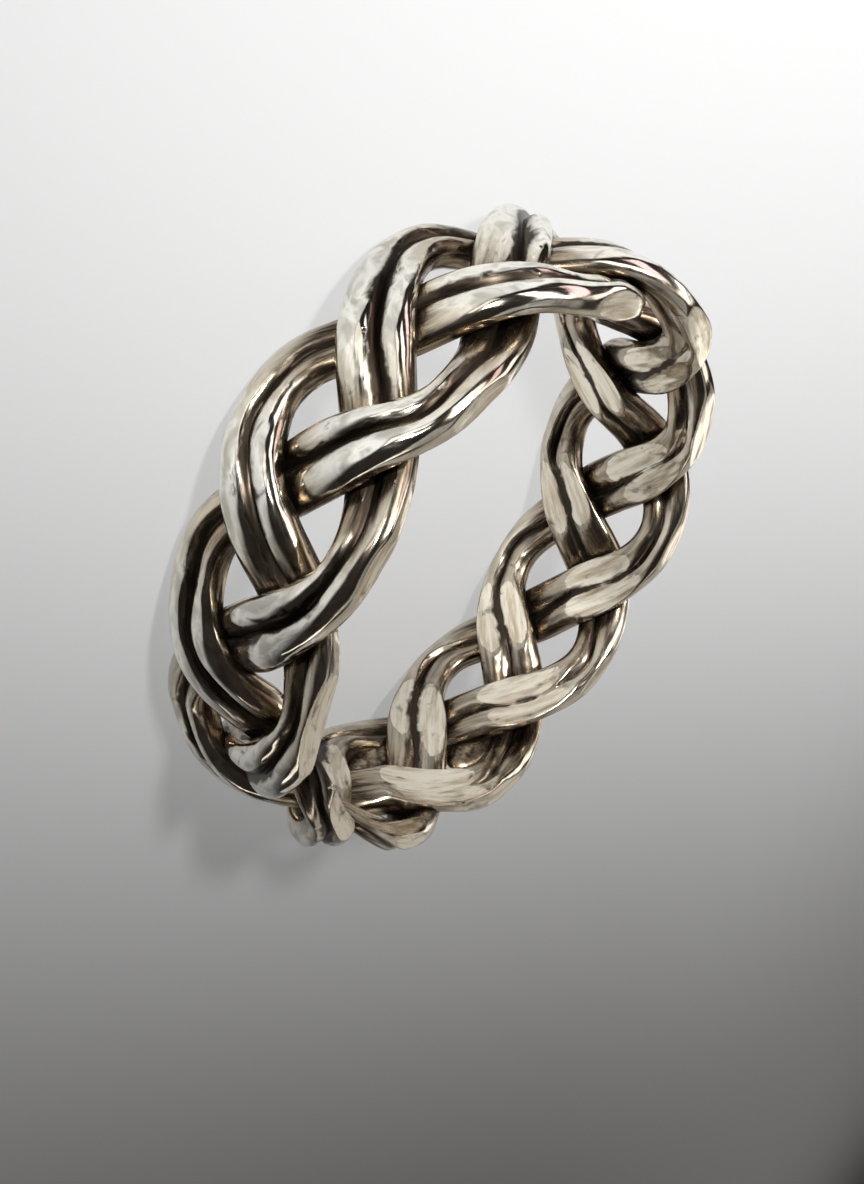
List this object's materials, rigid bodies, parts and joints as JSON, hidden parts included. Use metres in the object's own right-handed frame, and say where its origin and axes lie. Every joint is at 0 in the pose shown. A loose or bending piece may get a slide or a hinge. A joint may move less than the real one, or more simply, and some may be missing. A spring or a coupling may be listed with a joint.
{
  "type": "braided band ring",
  "caption": "Silver finger ring made as a closed flat braid of double wire, pierced between the strands and polished flush inside.",
  "frame": {"origin": "the middle of the ring's footprint, on the surface it lies on", "axes": "+Z along the finger, up out of the upper rim; -Y towards the viewer of the picture; +X to that viewer's right"},
  "size_m": [0.0216, 0.0216, 0.0065],
  "materials": {
    "silver": "polished sterling silver with brown-black tarnish left in the grooves and between the strands"
  },
  "bodies": {
    "root": {"strand_1": "silver", "strand_2": "silver", "strand_3": "silver"}
  },
  "joints": []
}
